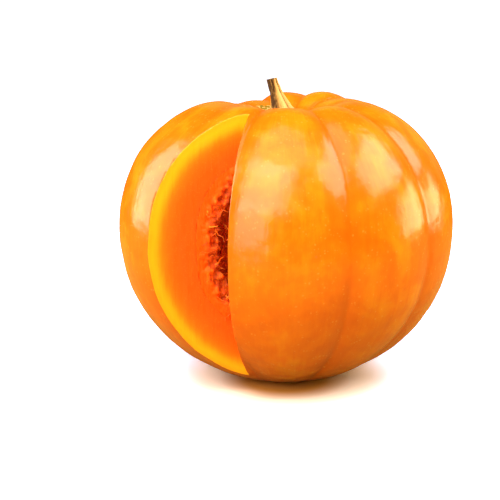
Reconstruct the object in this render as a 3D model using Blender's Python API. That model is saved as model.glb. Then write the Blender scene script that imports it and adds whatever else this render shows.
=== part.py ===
# A ripe ribbed pumpkin with one wedge cut out of its front, standing on its blossom end.
# Metres, +Z up. The origin is the middle of the flat spot the fruit rests on, under its stem.
# Azimuths are degrees round the stem: 0 is the front (-Y), and they grow towards +X.
# Levels run along a meridian from +1 at the stem, through 0 at the widest place, to -1 underneath.

import math

import bmesh
import bpy
from mathutils import Matrix, Vector

# The whole fruit
GIRTH_RADIUS = 0.1384        # over the ribs at the widest place
GIRTH_HEIGHT = 0.1235        # of the widest place above the floor
SHOULDER_RISE = 0.1177       # from the widest place up to the shoulders, before the dimple is sunk
SHOULDER_ROUNDNESS = 2.26    # 2 is an ellipse, more is squarer
BASE_ROUNDNESS = 2.04
REST_RADIUS = 0.038          # of the flat spot underneath
DIMPLE_DEPTH = 0.0324        # of the hollow that the stem stands in
DIMPLE_WIDTH = 0.0394

# The ribs: where each groove runs, how strong it is next to the others,
# and how much the shoulder of the rib that starts there stands above or below the rest
GROOVE_AZIMUTHS = (-161, -132, -100, -47, -20, 21.5, 57, 99, 134, 163)
GROOVE_STRENGTH = (1, 1, 0.5, 0.15, 1, 1, 1, 1, 1, 1)
SHOULDER_SWELL = (-0.0085, -0.0085, 0, 0, 0, 0, 0, -0.003, 0.001, -0.001)
GROOVE_DEPTH_GIRTH = 0.0052
GROOVE_DEPTH_SHOULDER = 0.0056
GROOVE_DEEPEST_LEVEL = 0.45
GROOVE_DEEP_SPAN = 0.35      # in levels, either way from the deepest place
GROOVE_FADE = 0.055          # how far from the stem's seat or the flat spot a groove takes to form
RIB_FULLNESS = 0.55          # below 1 the ribs are plump and the grooves narrow
SWELL_LEVEL = 0.6            # from the widest place up to here a shoulder's swell grows to its full size

# The flesh, the fibrous pulp inside it and the hollow inside that
WALL = 0.0354                # flesh and rind together, at the sides and shoulders
BASE_WALL = 0.044
PULP_DEPTH = 0.015
CAVITY_ROUNDNESS = 2.6
FIT_GAP = 0.0003             # left between pieces that touch

# The wedge that is cut out, from above the stem's level down through the base
NOTCH_REACH = 0.0181         # how far its tip goes into the hollow
NOTCH_TIP_AZIMUTH = -24.3
NOTCH_LEFT_AZIMUTH = -74.0   # the way each cut face runs outwards from the tip
NOTCH_RIGHT_AZIMUTH = -13.0

# The stem
STEM_LENGTH = 0.0333
STEM_FOOT_RADIUS = 0.0126
STEM_TOP_RADIUS = 0.0039
STEM_TAPER = 1.9
STEM_RIDGES = 5
STEM_RIDGE_DEPTH = 0.11      # share of the stem's radius
STEM_LEAN = 0.0122           # sideways, towards -X, at its top
STEM_BEND = 0.9              # 1 is a straight lean, more bends it near the top, less near its foot
STEM_TWIST = 18              # degrees from foot to top
STEM_TOP_SLANT = 0.20        # slope of the cut across the top
STEM_SLANT_START = 0.67      # share of its length below which the slanting cut has no effect
SEAT_MARGIN = 0.00244        # the flat seat is this much wider than the stem's foot

# The seeds, held point first in pockets of the pulp
SEED_LENGTH = 0.0165
SEED_WIDTH = 0.0100
SEED_THICKNESS = 0.0034
SEED_POINT = 0.30            # how much narrower the pointed end is
SEED_FACE = 0.62             # how far out its rounded faces turn down to the edge
SEED_FACE_HEIGHT = 0.82      # share of its half thickness that is left there
SEED_BURIED = 0.0068         # how deep its point sits in the pulp
POCKET_GROWTH = 0.0007       # at a pocket's edge and middle; its slanted faces end up about half as far off
SEED_BANDS = (38, 74, 108, 142)
SEED_LEVELS = (0.46, 0.22, -0.02, -0.26, -0.50)
SEED_STAGGER = 5             # degrees, alternately to each side of a band
SEED_DROOP = 34              # degrees that a seed hangs below square to the wall
SEED_DROOP_SWAY = 9          # more or less from seed to seed
SEED_TURN = 25               # degrees round its own length, alternately each way
SEED_TURN_STEP = 12          # more for each row further down

# How finely the curved faces are divided
RIB_COLUMNS = 8
SKIN_ROWS = 26
CAVITY_COLUMNS = 36
CAVITY_ROWS = 14
STEM_COLUMNS = 25
STEM_ROWS = 8
SEED_COLUMNS = 10

SEAT_RADIUS = STEM_FOOT_RADIUS * (1 + STEM_RIDGE_DEPTH) + SEAT_MARGIN
CAVITY_RADIUS = GIRTH_RADIUS - WALL
HOLLOW_RADIUS = CAVITY_RADIUS - PULP_DEPTH
NOTCH_TIP_RADIUS = HOLLOW_RADIUS - NOTCH_REACH
BASE_FALL = GIRTH_HEIGHT / (1 - (REST_RADIUS / GIRTH_RADIUS) ** BASE_ROUNDNESS) ** (1 / BASE_ROUNDNESS)


def outward(azimuth):
    """The level direction of an azimuth."""
    turn = math.radians(azimuth)
    return Vector((math.sin(turn), -math.cos(turn), 0))


def meridian(level, radius, rise, fall, round_top, round_base):
    """Distance from the axis and height of a meridian at a level."""
    angle = level * math.pi / 2
    upper = level >= 0
    power = 2 / (round_top if upper else round_base)
    r = radius * max(math.cos(angle), 0) ** power
    z = GIRTH_HEIGHT + math.copysign((rise if upper else fall) * abs(math.sin(angle)) ** power, level)
    if upper:
        z -= DIMPLE_DEPTH * math.exp(-((r / DIMPLE_WIDTH) ** 2))
    return r, z


def skin_meridian(level):
    return meridian(level, GIRTH_RADIUS, SHOULDER_RISE, BASE_FALL, SHOULDER_ROUNDNESS, BASE_ROUNDNESS)


def inner_meridian(level, depth):
    """A meridian of the cavity (depth 0) or of a face that lies depth inside it."""
    return meridian(
        level,
        CAVITY_RADIUS - depth,
        SHOULDER_RISE - WALL - depth,
        BASE_FALL - BASE_WALL - depth,
        CAVITY_ROUNDNESS,
        CAVITY_ROUNDNESS,
    )


def level_of(radius, roundness):
    """How far from the widest place the skin's meridian has drawn in to a radius."""
    return math.acos((radius / GIRTH_RADIUS) ** (roundness / 2)) * 2 / math.pi


def normal_of(curve, level):
    """The outward direction of a meridian in its own plane, as (r, z)."""
    step = 0.001
    r0, z0 = curve(level + step)
    r1, z1 = curve(level - step)
    length = math.hypot(r1 - r0, z1 - z0)
    return (z0 - z1) / length, (r1 - r0) / length


def smooth(x):
    x = min(max(x, 0), 1)
    return x * x * (3 - 2 * x)


def rib_offset(level, r, rib, share):
    """How far the skin stands from its meridian, at a share of the way across a rib."""
    crest = math.sin(math.pi * share) ** RIB_FULLNESS if 0 < share < 1 else 0
    next_rib = (rib + 1) % len(GROOVE_AZIMUTHS)
    groove, neighbour = (rib, rib - 1) if share < 0.5 else (next_rib, next_rib)
    near_deepest = math.exp(-(((level - GROOVE_DEEPEST_LEVEL) / GROOVE_DEEP_SPAN) ** 2))
    depth = GROOVE_DEPTH_GIRTH + (GROOVE_DEPTH_SHOULDER - GROOVE_DEPTH_GIRTH) * near_deepest
    start = SEAT_RADIUS if level > 0 else REST_RADIUS
    formed = smooth((r - start) / GROOVE_FADE)
    halfway = (SHOULDER_SWELL[rib] + SHOULDER_SWELL[neighbour]) / 2
    swell = halfway + (SHOULDER_SWELL[rib] - halfway) * crest
    return formed * (swell * smooth(level / SWELL_LEVEL) - depth * GROOVE_STRENGTH[groove] * (1 - crest))


def skin_point(level, rib, share):
    """A point of the skin, a share of the way across a rib."""
    r, z = skin_meridian(level)
    normal_r, normal_z = normal_of(skin_meridian, level)
    offset = rib_offset(level, r, rib, share)
    start = GROOVE_AZIMUTHS[rib]
    end = GROOVE_AZIMUTHS[(rib + 1) % len(GROOVE_AZIMUTHS)]
    azimuth = start + share * ((end - start) % 360)
    point = outward(azimuth) * (r + normal_r * offset)
    point.z = z + normal_z * offset
    return point


def shell(name, rings, top, bottom):
    """A closed body from level rings of points, first one uppermost, and a point at each pole."""
    bm = bmesh.new()
    loops = [[bm.verts.new(point) for point in ring] for ring in rings]
    first = bm.verts.new(top)
    last = bm.verts.new(bottom)
    count = len(loops[0])
    for i in range(count):
        j = (i + 1) % count
        bm.faces.new((first, loops[0][i], loops[0][j]))
        for upper, lower in zip(loops, loops[1:]):
            bm.faces.new((upper[i], lower[i], lower[j], upper[j]))
        bm.faces.new((last, loops[-1][j], loops[-1][i]))
    bmesh.ops.triangulate(bm, faces=bm.faces[:])
    bmesh.ops.recalc_face_normals(bm, faces=bm.faces[:])
    return as_object(name, bm)


def as_object(name, bm):
    mesh = bpy.data.meshes.new(name)
    bm.to_mesh(mesh)
    bm.free()
    thing = bpy.data.objects.new(name, mesh)
    bpy.context.scene.collection.objects.link(thing)
    return thing


def revolved(name, depth):
    """The closed body inside the cavity's wall at a depth."""
    rings = []
    for row in range(1, CAVITY_ROWS):
        r, z = inner_meridian(1 - 2 * row / CAVITY_ROWS, depth)
        ring = [outward(360 * i / CAVITY_COLUMNS) * r + Vector((0, 0, z)) for i in range(CAVITY_COLUMNS)]
        rings.append(ring)
    top = Vector((0, 0, inner_meridian(1, depth)[1]))
    bottom = Vector((0, 0, inner_meridian(-1, depth)[1]))
    return shell(name, rings, top, bottom)


def whole_fruit(name):
    """The skin closed over a flat seat for the stem and the flat spot underneath."""
    top = level_of(SEAT_RADIUS, SHOULDER_ROUNDNESS)
    base = -level_of(REST_RADIUS, BASE_ROUNDNESS)
    rings = []
    for row in range(SKIN_ROWS + 1):
        level = top + (base - top) * row / SKIN_ROWS
        ring = []
        for rib in range(len(GROOVE_AZIMUTHS)):
            ring += [skin_point(level, rib, column / RIB_COLUMNS) for column in range(RIB_COLUMNS)]
        rings.append(ring)
    for point in rings[0]:
        point.z = seat_height()
    for point in rings[-1]:
        point.z = 0
    return shell(name, rings, Vector((0, 0, seat_height())), Vector((0, 0, 0)))


def seat_height():
    return skin_meridian(level_of(SEAT_RADIUS, SHOULDER_ROUNDNESS))[1]


def notch_cutter():
    """A tall three-sided prism whose tip edge stands inside the hollow."""
    tip = outward(NOTCH_TIP_AZIMUTH) * NOTCH_TIP_RADIUS
    reach = 3 * GIRTH_RADIUS
    corners = (tip, tip + outward(NOTCH_RIGHT_AZIMUTH) * reach, tip + outward(NOTCH_LEFT_AZIMUTH) * reach)
    below = Vector((0, 0, -0.1 * GIRTH_HEIGHT))
    above = Vector((0, 0, 2 * (GIRTH_HEIGHT + SHOULDER_RISE)))
    bm = bmesh.new()
    floor = [bm.verts.new(corner + below) for corner in corners]
    roof = [bm.verts.new(corner + above) for corner in corners]
    bm.faces.new(reversed(floor))
    bm.faces.new(roof)
    for i in range(3):
        j = (i + 1) % 3
        bm.faces.new((floor[i], floor[j], roof[j], roof[i]))
    bmesh.ops.recalc_face_normals(bm, faces=bm.faces[:])
    return as_cutter(as_object("notch_cutter", bm))


def as_cutter(thing):
    thing.hide_render = True
    thing.display_type = "WIRE"
    return thing


def cut(thing, cutter):
    step = thing.modifiers.new("cut_" + cutter.name, "BOOLEAN")
    step.operation = "DIFFERENCE"
    step.solver = "EXACT"
    step.object = cutter


def seed_outline(length, width):
    """Points round a seed's edge, its point towards +X."""
    points = []
    for i in range(SEED_COLUMNS):
        angle = 2 * math.pi * i / SEED_COLUMNS
        half = width / 2 * (1 - SEED_POINT * math.cos(angle))
        points.append(Vector((length / 2 * math.cos(angle), half * math.sin(angle), 0)))
    return points


def seed_shape(name, place, grow=0.0):
    """A flat, plump seed, or with grow its pocket."""
    edge = seed_outline(SEED_LENGTH + 2 * grow, SEED_WIDTH + 2 * grow)
    half = SEED_THICKNESS / 2 + grow
    face = [point * SEED_FACE for point in edge]
    lift = Vector((0, 0, SEED_FACE_HEIGHT * half))
    rings = [[point + lift for point in face], edge, [point - lift for point in face]]
    seed = shell(name, rings, Vector((0, 0, half)), Vector((0, 0, -half)))
    seed.data.transform(place)
    return seed


def seed_places():
    """Where each seed sits, as a matrix whose +X is the way its point goes."""
    places = []
    for band, azimuth in enumerate(SEED_BANDS):
        for row, level in enumerate(SEED_LEVELS):
            side = 1 if (band + row) % 2 else -1
            here = azimuth + side * SEED_STAGGER
            r, z = inner_meridian(level, PULP_DEPTH)
            normal_r, normal_z = normal_of(lambda at: inner_meridian(at, PULP_DEPTH), level)
            wall = outward(here) * normal_r + Vector((0, 0, normal_z))
            across = Vector((0, 0, 1)).cross(outward(here))
            droop = math.radians(SEED_DROOP + SEED_DROOP_SWAY * side)
            point = Matrix.Rotation(-droop, 3, across) @ wall
            turn = Matrix.Rotation(math.radians(SEED_TURN * side + SEED_TURN_STEP * row), 3, point)
            flat = turn @ point.cross(across).normalized()
            middle = outward(here) * r + Vector((0, 0, z)) + point * (SEED_BURIED - SEED_LENGTH / 2)
            axes = Matrix((point, flat.cross(point), flat)).transposed().to_4x4()
            places.append(Matrix.Translation(middle) @ axes)
    return places


def stem_ring(share):
    """Points round the stem at a share of its length."""
    radius = STEM_TOP_RADIUS + (STEM_FOOT_RADIUS - STEM_TOP_RADIUS) * (1 - share) ** STEM_TAPER
    middle = Vector((-STEM_LEAN * share ** STEM_BEND, 0, seat_height() + FIT_GAP + STEM_LENGTH * share))
    near_top = smooth((share - STEM_SLANT_START) / (1 - STEM_SLANT_START))
    ring = []
    for i in range(STEM_COLUMNS):
        angle = 2 * math.pi * i / STEM_COLUMNS
        around = angle + math.radians(STEM_TWIST) * share
        reach = radius * (1 + STEM_RIDGE_DEPTH * math.cos(STEM_RIDGES * angle))
        slant = STEM_TOP_SLANT * reach * math.cos(around) * near_top
        ring.append(middle + Vector((reach * math.cos(around), reach * math.sin(around), slant)))
    return ring


def stem_shape(name):
    rings = [stem_ring(1 - row / STEM_ROWS) for row in range(STEM_ROWS + 1)]
    top = Vector((-STEM_LEAN, 0, seat_height() + FIT_GAP + STEM_LENGTH))
    foot = Vector((0, 0, seat_height() + FIT_GAP))
    return shell(name, rings, top, foot)


def material(name, colour, roughness, coat=0.0):
    made = bpy.data.materials.new(name)
    made.use_nodes = True
    shader = made.node_tree.nodes["Principled BSDF"]
    shader.inputs["Base Color"].default_value = (*colour, 1)
    shader.inputs["Roughness"].default_value = roughness
    shader.inputs["Metallic"].default_value = 0
    shader.inputs["Coat Weight"].default_value = coat
    return made


def finish(thing, look, sharp_degrees=40):
    thing.data.materials.append(look)
    thing.data.shade_smooth()
    thing.data.set_sharp_from_angle(angle=math.radians(sharp_degrees))


def build():
    for thing in list(bpy.data.objects):
        bpy.data.objects.remove(thing, do_unlink=True)
    notch = notch_cutter()

    flesh = whole_fruit("flesh_and_rind")
    cut(flesh, as_cutter(revolved("cavity_cutter", 0)))
    cut(flesh, notch)
    finish(flesh, material("rind", (0.86, 0.27, 0.015), 0.30, 0.3))

    pulp = revolved("pulp", FIT_GAP)
    cut(pulp, as_cutter(revolved("hollow_cutter", PULP_DEPTH)))
    cut(pulp, notch)
    finish(pulp, material("fibrous_pulp", (0.75, 0.12, 0.01), 0.55))

    seed_look = material("seed_shell", (0.83, 0.68, 0.42), 0.42)
    for number, place in enumerate(seed_places(), 1):
        seed = seed_shape(f"seed_{number:02d}", place)
        finish(seed, seed_look, 60)
        cut(pulp, as_cutter(seed_shape(f"pocket_{number:02d}", place, POCKET_GROWTH)))

    finish(stem_shape("stem"), material("dry_stem", (0.50, 0.33, 0.13), 0.7))


build()
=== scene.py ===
import math

import bmesh
import bpy
import numpy as np
from mathutils import Matrix, Vector, noise
from mathutils.kdtree import KDTree


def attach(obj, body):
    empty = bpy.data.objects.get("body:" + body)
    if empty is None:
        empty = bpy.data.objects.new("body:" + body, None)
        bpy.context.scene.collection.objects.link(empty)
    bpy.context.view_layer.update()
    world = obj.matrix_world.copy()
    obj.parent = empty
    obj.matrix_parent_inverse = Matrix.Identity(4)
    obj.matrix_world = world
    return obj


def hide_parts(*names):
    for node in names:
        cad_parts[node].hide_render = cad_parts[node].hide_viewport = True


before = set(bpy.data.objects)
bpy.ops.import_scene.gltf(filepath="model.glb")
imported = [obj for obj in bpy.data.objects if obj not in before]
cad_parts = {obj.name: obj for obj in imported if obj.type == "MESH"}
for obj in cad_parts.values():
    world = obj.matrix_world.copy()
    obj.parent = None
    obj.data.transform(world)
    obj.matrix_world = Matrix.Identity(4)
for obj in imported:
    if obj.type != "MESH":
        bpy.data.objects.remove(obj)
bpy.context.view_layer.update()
print("frame loaded:", len(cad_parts), "solids")

scene = bpy.context.scene


# small helpers for node trees

def newNode(tree, kind, feeds=None, **settings):
    node = tree.nodes.new(kind)
    count = len(tree.nodes)
    node.location = (count % 10 * 190, -(count // 10) * 240)
    for name, value in settings.items():
        setattr(node, name, value)
    for key, value in (feeds or {}).items():
        if isinstance(value, bpy.types.NodeSocket):
            tree.links.new(value, node.inputs[key])
        else:
            node.inputs[key].default_value = value
    return node


def put(tree, kind, feeds=None, **settings):
    # for a node that is read at its first output
    return newNode(tree, kind, feeds, **settings).outputs[0]


def calc(operation, *values):
    tree = next(value.id_data for value in values if isinstance(value, bpy.types.NodeSocket))
    return put(tree, "ShaderNodeMath", dict(enumerate(values)), operation=operation)


def sumOf(operation, turned=False):
    # lets a sum be written with sockets, and makes the Math nodes for it
    def make(socket, other):
        return calc(operation, *((other, socket) if turned else (socket, other)))
    return make


sums = {"add": "ADD", "sub": "SUBTRACT", "mul": "MULTIPLY", "truediv": "DIVIDE", "pow": "POWER"}
for sign, operation in sums.items():
    setattr(bpy.types.NodeSocket, f"__{sign}__", sumOf(operation))
    setattr(bpy.types.NodeSocket, f"__r{sign}__", sumOf(operation, True))


def vectorCalc(operation, vector, *others):
    feeds = dict(enumerate((vector, *others)))
    return put(vector.id_data, "ShaderNodeVectorMath", feeds, operation=operation)


def vectorOf(x, y, z):
    return put(x.id_data, "ShaderNodeCombineXYZ", {0: x, 1: y, 2: z})


def scaled(vector, scale):
    return put(vector.id_data, "ShaderNodeVectorMath", {0: vector, "Scale": scale}, operation="SCALE")


def lengthOf(vector):
    node = newNode(vector.id_data, "ShaderNodeVectorMath", {0: vector}, operation="LENGTH")
    return node.outputs["Value"]


def remap(value, low, high, toLow=0.0, toHigh=1.0):
    feeds = {"Value": value, "From Min": low, "From Max": high, "To Min": toLow, "To Max": toHigh}
    return put(value.id_data, "ShaderNodeMapRange", feeds, interpolation_type="SMOOTHSTEP", clamp=True)


def cloud(tree, place, scale, detail, output=0, dimensions="3D", **more):
    feeds = {"Scale": scale, "Detail": detail, **more}
    if place is not None:
        feeds["Vector"] = place
    return newNode(tree, "ShaderNodeTexNoise", feeds, noise_dimensions=dimensions).outputs[output]


def openTree(name, values, geometry=True):
    # one named input for each value
    tree = bpy.data.node_groups.new(name, "GeometryNodeTree" if geometry else "ShaderNodeTree")
    face = tree.interface
    if geometry:
        tree.is_modifier = True
        face.new_socket("Geometry", in_out="INPUT", socket_type="NodeSocketGeometry")
    kinds = ((bpy.types.Material, "Material"), (tuple, "Vector"), (int, "Int"), (float, "Float"))
    for label, value in values.items():
        kind = next(word for sort, word in kinds if isinstance(value, sort))
        socket = face.new_socket(label, in_out="INPUT", socket_type="NodeSocket" + kind)
        if kind != "Material":
            socket.default_value = value
    label, kind = ("Geometry", "Geometry") if geometry else ("mask", "Float")
    face.new_socket(label, in_out="OUTPUT", socket_type="NodeSocket" + kind)
    start = tree.nodes.new("NodeGroupInput")
    end = tree.nodes.new("NodeGroupOutput")
    return tree, start.outputs, end


def closeTree(tree, geometry, given, end):
    real = put(tree, "GeometryNodeRealizeInstances", {0: geometry})
    dressed = put(tree, "GeometryNodeSetMaterial", {"Geometry": real, "Material": given["finish"]})
    tree.links.new(dressed, end.inputs[0])
    return tree


def named(tree, name, kind="FLOAT"):
    return put(tree, "GeometryNodeInputNamedAttribute", {"Name": name}, data_type=kind)


def stored(tree, geometry, name, value, kind="FLOAT"):
    feeds = {"Geometry": geometry, "Name": name, "Value": value}
    return put(tree, "GeometryNodeStoreNamedAttribute", feeds, data_type=kind, domain="POINT")


def moved(tree, geometry, **where):
    return put(tree, "GeometryNodeSetPosition", {"Geometry": geometry, **where})


def copied(tree, points, pattern, turn, size):
    feeds = {"Points": points, "Instance": pattern, "Rotation": turn, "Scale": size}
    return put(tree, "GeometryNodeInstanceOnPoints", feeds)


def linked(name, mesh):
    thing = bpy.data.objects.new(name, mesh)
    scene.collection.objects.link(thing)
    return thing


def plain(thing):
    # the evaluated shape becomes the object's own mesh
    graph = bpy.context.evaluated_depsgraph_get()
    shape = thing.evaluated_get(graph)
    mesh = bpy.data.meshes.new_from_object(shape, preserve_all_data_layers=True, depsgraph=graph)
    thing.modifiers.clear()
    thing.data = mesh
    mesh.name = thing.name
    return thing


def grown(name, mesh, tree, values):
    # a mesh shaped by a node tree, its inputs set by identifier before it is evaluated
    thing = linked(name, mesh)
    rule = thing.modifiers.new(tree.name, "NODES")
    rule.node_group = tree
    for item in tree.interface.items_tree:
        if item.item_type == "SOCKET" and item.in_out == "INPUT" and item.name in values:
            rule[item.identifier] = values[item.name]
    return plain(thing)


def store(mesh, name, numbers):
    # one number or one vector for each point
    rows = np.asarray(numbers, dtype=np.float32)
    kind, field = ("FLOAT", "value") if rows.ndim == 1 else ("FLOAT_VECTOR", "vector")
    mesh.attributes.new(name, kind, "POINT").data.foreach_set(field, rows.ravel())


def meshFrom(bm, name):
    mesh = bpy.data.meshes.new(name)
    bm.to_mesh(mesh)
    bm.free()
    return mesh


def pointsOf(mesh):
    flat = np.empty(len(mesh.vertices) * 3, dtype=np.float32)
    mesh.vertices.foreach_get("co", flat)
    return flat.reshape(-1, 3).astype(float)


def nearest(points, spots):
    # for each spot, the nearest of the points: its place, number and distance
    tree = KDTree(len(points))
    for i, point in enumerate(points):
        tree.insert(point, i)
    tree.balance()
    return [tree.find(spot) for spot in spots]


def discard(*things):
    for thing in things:
        bpy.data.objects.remove(thing, do_unlink=True)


# shader groups that several finishes share

def speckleGroup():
    # scattered soft dots of uneven size
    inputs = {"at": (0.0, 0.0, 0.0), "scale": 300.0, "share": 0.3, "size": 0.3}
    tree, given, end = openTree("speckles", inputs, False)
    bend = cloud(tree, given["at"], 90.0, 2.0, "Color")
    at = vectorCalc("ADD", given["at"], scaled(bend, 0.004))
    cells = newNode(tree, "ShaderNodeTexVoronoi", {"Vector": at, "Scale": given["scale"], "Randomness": 1.0})
    chance = newNode(tree, "ShaderNodeSeparateXYZ", {0: cells.outputs["Color"]})
    chosen = calc("LESS_THAN", chance.outputs[0], given["share"])
    reach = given["size"] * (chance.outputs[1] + 0.35)
    dot = remap(cells.outputs["Distance"] / reach, 1.0, 0.35)
    tree.links.new(dot * chosen, end.inputs["mask"])
    return tree


def grainGroup():
    # streaks drawn out along one axis of the coordinates that come in already stretched
    tree, given, end = openTree("grain", {"at": (0.0, 0.0, 0.0), "scale": 100.0, "contrast": 1.0}, False)
    broad = cloud(tree, given["at"], given["scale"], 5.0, Roughness=0.62, Distortion=0.25)
    lifted = (broad - 0.5) * (given["contrast"] * 2.2) + 0.5
    tree.links.new(put(tree, "ShaderNodeClamp", {0: lifted}), end.inputs["mask"])
    return tree


speckles = speckleGroup()
grain = grainGroup()


def useGroup(group, **feeds):
    return put(feeds["at"].id_data, "ShaderNodeGroup", feeds, node_tree=group)


def blendColour(factor, first, second):
    tree = factor.id_data
    node = newNode(tree, "ShaderNodeMix", data_type="RGBA", clamp_factor=True)
    for key, value in (("Factor", factor), ("A", first), ("B", second)):
        socket = [s for s in node.inputs if s.name == key and s.enabled][0]
        if isinstance(value, bpy.types.NodeSocket):
            tree.links.new(value, socket)
        else:
            socket.default_value = (*value, 1.0)
    return [s for s in node.outputs if s.enabled][0]


def ramp(value, stops):
    node = newNode(value.id_data, "ShaderNodeValToRGB", {0: value})
    marks = node.color_ramp.elements
    while len(marks) < len(stops):
        marks.new(0.5)
    for mark, (place, colour) in zip(marks, stops):
        mark.position = place
        mark.color = (*colour, 1.0)
    return node.outputs[0]


def bumps(*layers):
    # height, strength and distance of each layer, the lowest first
    under = {}
    for height, strength, distance in layers:
        feeds = {"Height": height, "Strength": strength, "Distance": distance, **under}
        under = {"Normal": put(height.id_data, "ShaderNodeBump", feeds)}
    return under["Normal"]


def newFinish(name):
    finish = bpy.data.materials.new(name)
    finish.use_nodes = True
    return finish, finish.node_tree, newNode(finish.node_tree, "ShaderNodeTexCoord").outputs["Object"]


def dress(finish, colour, roughness, normal, fixed):
    # what is the same all over is set on the shader's own sockets
    shader = finish.node_tree.nodes["Principled BSDF"]
    for name, value in (("Base Color", colour), ("Roughness", roughness), ("Normal", normal)):
        finish.node_tree.links.new(value, shader.inputs[name])
    for name, value in fixed.items():
        shader.inputs[name].default_value = value
    return finish


def soaked(weight, radius, scale, specular=0.5):
    # for a body that light goes some way into
    return {
        "Subsurface Weight": weight, "Subsurface Radius": radius, "Subsurface Scale": scale,
        "Specular IOR Level": specular,
    }


def varied(tone, *layers):
    # each layer is a noise and how much of it shows
    for layer, amount in layers:
        tone = (layer - 0.5) * amount + tone
    return tone


def attributeOf(tree, name, output="Fac"):
    return newNode(tree, "ShaderNodeAttribute", attribute_name=name).outputs[output]


# finishes

rindLook = {
    "deep": (0.80, 0.140, 0.0020),
    "middle": (0.88, 0.180, 0.0028),
    "bright": (0.96, 0.300, 0.0060),
    "speck": (1.0, 0.52, 0.10),
    "scar": (0.42, 0.16, 0.03),
    "green": (0.17, 0.155, 0.014),
    "cork": (0.78, 0.50, 0.18),
    "paleBase": (0.86, 0.46, 0.11),
    "flowerScar": (0.36, 0.22, 0.10),
    "scarShift": (0.0110, -0.0030, 0.0),    # from the middle of the bark round the stem to the axis
    "flakeScale": 420.0,
    "mottleScale": 34.0,
    "streakScale": 210.0,
    "speckScale": 420.0,
    "roughness": 0.19,
    "fixed": soaked(0.10, (1.0, 0.35, 0.08), 0.006),
}


def rindFinish():
    look = rindLook
    finish, tree, place = newFinish("waxyRind")
    along = attributeOf(tree, "alongRib", "Vector")
    groove = attributeOf(tree, "groove")
    mottle = cloud(tree, place, look["mottleScale"], 4.0, Roughness=0.55, Distortion=0.4)
    fine = cloud(tree, place, 130.0, 3.0)
    streak = useGroup(grain, at=along, scale=look["streakScale"], contrast=1.1)
    height = newNode(tree, "ShaderNodeSeparateXYZ", {0: place}).outputs[2]
    # painted light and shade: yellower higher up and redder low down, as if lit from above
    paintedTopLight = remap(height, 0.01, 0.22, 0.0, 0.11)
    tone = varied(mottle + paintedTopLight, (streak, 0.16), (fine, 0.14))
    # painted shade: darker along the grooves, standing in for the shade of deeper grooves
    tone = groove * -0.42 + tone
    colour = ramp(tone, ((0.22, look["deep"]), (0.50, look["middle"]), (0.84, look["bright"])))
    dots = useGroup(speckles, at=place, scale=look["speckScale"], share=0.42, size=0.42)
    large = useGroup(speckles, at=place, scale=120.0, share=0.18, size=0.15)
    patches = remap(fine, 0.42, 0.62)
    colour = blendColour(dots * patches * 0.26, colour, look["speck"])
    colour = blendColour(large * 0.16, colour, look["speck"])
    marks = useGroup(speckles, at=place, scale=42.0, share=0.07, size=0.10)
    colour = blendColour(marks * 0.55, colour, look["scar"])
    # corky ring where the flower dropped off, and round the foot of the stem
    across = lengthOf(vectorCalc("MULTIPLY", place, (1.0, 1.0, 0.0)))
    low = calc("LESS_THAN", height, 0.05)
    wobble = varied(across, (fine, 0.006))
    cork = remap(wobble, 0.0085, 0.006) * low
    halo = remap(wobble, 0.03, 0.012) * low
    colour = blendColour(halo * 0.45, colour, look["paleBase"])
    colour = blendColour(cork, colour, look["flowerScar"])
    high = calc("GREATER_THAN", height, 0.15)
    fromScar = lengthOf(vectorCalc("MULTIPLY_ADD", place, (1.0, 1.0, 0.0), look["scarShift"]))
    worn = varied(fromScar, (fine, 0.02))
    scarred = remap(worn, 0.0275, 0.0245) * high
    flaky = remap(cloud(tree, place, look["flakeScale"], 3.0), 0.50, 0.60)
    bark = blendColour(flaky, look["green"], look["cork"])
    colour = blendColour(scarred * 0.9, colour, bark)
    gloss = cork * 0.4 + varied(look["roughness"], (fine, 0.16))
    pores = cloud(tree, place, 1500.0, 2.0)
    normal = bumps((pores, 0.10, 0.0002), (fine, 0.30, 0.0010), (streak, 0.16, 0.0005))
    return dress(finish, colour, gloss, normal, look["fixed"])


fleshLook = {
    "band": 0.0225,             # metres under the skin that the colour takes to turn from yellow to orange
    "bandAbove": 1.3,           # times as wide over the shoulder
    "nextToPulp": (0.90, 0.070, 0.004),
    "cells": (1.0, 0.42, 0.06),
    "colours": (
        (0.00, (0.98, 0.44, 0.006)), (0.12, (1.0, 0.49, 0.006)), (0.23, (1.0, 0.42, 0.005)),
        (0.33, (1.0, 0.310, 0.004)), (0.43, (1.0, 0.220, 0.003)), (0.55, (1.0, 0.170, 0.003)),
        (0.75, (1.0, 0.140, 0.003)), (1.0, (0.97, 0.120, 0.003)),
    ),
    "roughness": 0.46,
    "fixed": soaked(0.12, (1.0, 0.30, 0.05), 0.004, 0.30),
}


def fleshFinish():
    look = fleshLook
    finish, tree, place = newFinish("cutFlesh")
    depth = attributeOf(tree, "underSkin")
    over = attributeOf(tree, "overPulp")
    fine = cloud(tree, place, 160.0, 4.0)
    broad = cloud(tree, place, 36.0, 2.0)
    stretched = put(tree, "ShaderNodeMapping", {"Vector": place, "Scale": (1.0, 1.0, 0.12)})
    strokes = useGroup(grain, at=stretched, scale=300.0, contrast=1.0)
    height = newNode(tree, "ShaderNodeSeparateXYZ", {0: place}).outputs[2]
    band = remap(height, 0.165, 0.225, look["band"], look["band"] * look["bandAbove"])
    depth = varied(depth / band, (broad, 0.12), (strokes, 0.07))
    colour = ramp(depth, look["colours"])
    inner = remap(fine * -0.004 + over, 0.003, -0.002)
    colour = blendColour(inner * 0.15, colour, look["nextToPulp"])
    cells = useGroup(speckles, at=place, scale=700.0, share=0.5, size=0.45)
    colour = blendColour(cells * 0.1, colour, look["cells"])
    gloss = varied(look["roughness"], (fine, 0.25))
    wet = cloud(tree, place, 900.0, 3.0)
    normal = bumps((wet, 0.25, 0.0003), (strokes, 0.35, 0.0006), (fine, 0.25, 0.0009))
    return dress(finish, colour, gloss, normal, look["fixed"])


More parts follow.
